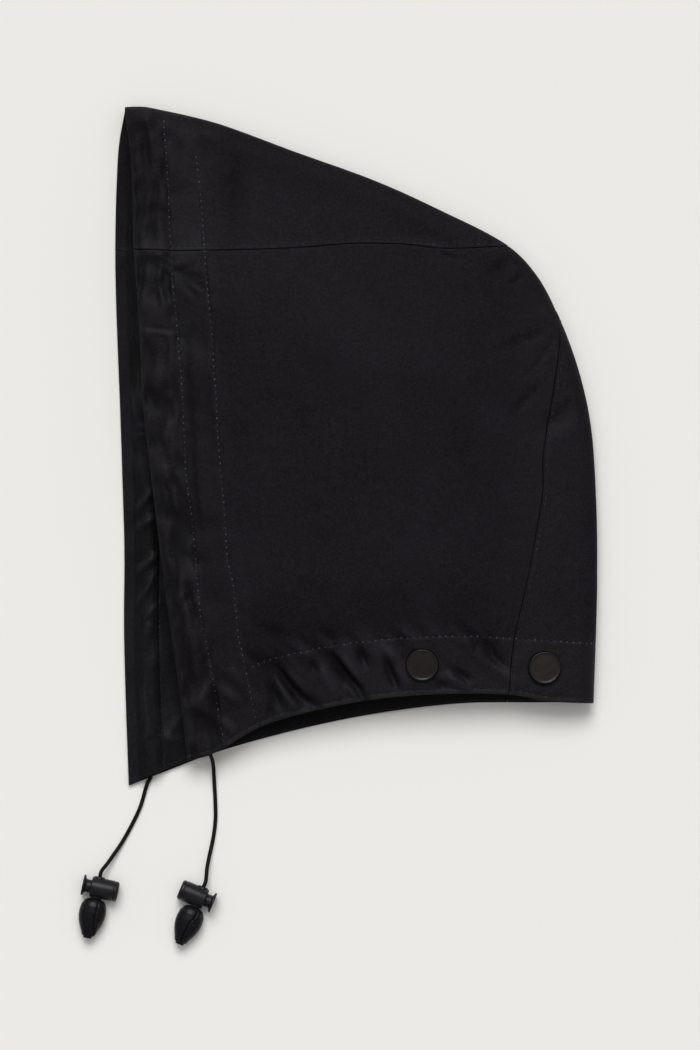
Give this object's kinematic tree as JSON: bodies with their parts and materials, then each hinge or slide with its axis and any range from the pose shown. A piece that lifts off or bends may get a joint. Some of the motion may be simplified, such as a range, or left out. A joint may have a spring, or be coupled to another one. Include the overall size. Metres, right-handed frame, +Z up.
{
  "type": "detachable hood",
  "caption": "Detachable waxed-cotton hood lying flat on its side, with a drawcord in the face edge, cord locks, cord ends and press studs at the neck.",
  "frame": {"origin": "on the surface that the hood lies on, under the middle of the hood's box, cords left out", "axes": "+X from the face opening to the back of the head, +Y from the neck hem to the crown, +Z up through the hood's left side"},
  "size_m": [0.2622, 0.4235, 0.0314],
  "materials": {
    "waxed_cotton": "black waxed cotton, soft low sheen",
    "facing_cloth": "black plain-woven facing, slightly duller",
    "braided_cord": "black round braid",
    "matte_nylon": "black moulded nylon, fine grain",
    "glossy_nylon": "black moulded nylon, smooth",
    "black_metal": "dark gunmetal plating with a soft shine"
  },
  "bodies": {
    "hood": {"side_panel_left": "waxed_cotton", "side_panel_right": "waxed_cotton", "crown_panel": "waxed_cotton", "back_panel": "waxed_cotton", "face_facing": "facing_cloth", "neck_facing": "facing_cloth", "stud_cap_left_front": "black_metal", "stud_socket_left_front": "black_metal", "stud_cap_left_back": "black_metal", "stud_socket_left_back": "black_metal", "cord_left": "braided_cord", "lock_barrel_left": "matte_nylon", "cord_bell_left": "glossy_nylon", "stud_cap_right_front": "black_metal", "stud_socket_right_front": "black_metal", "stud_cap_right_back": "black_metal", "stud_socket_right_back": "black_metal", "cord_right": "braided_cord", "lock_barrel_right": "matte_nylon", "cord_bell_right": "glossy_nylon"},
    "plunger_left": {"lock_plunger_left": "matte_nylon"},
    "plunger_right": {"lock_plunger_right": "matte_nylon"}
  },
  "joints": [
    {"name": "plunger_left_press", "type": "slide", "parent": "hood", "child": "plunger_left", "axis": [-0.9205, 0.3907, 0], "range_m": [0, 0.0028], "stiffness_N_per_m": 800, "springref_m": -0.003},
    {"name": "plunger_right_press", "type": "slide", "parent": "hood", "child": "plunger_right", "axis": [0.9781, -0.2079, 0], "range_m": [0, 0.0028], "stiffness_N_per_m": 800, "springref_m": -0.003}
  ]
}
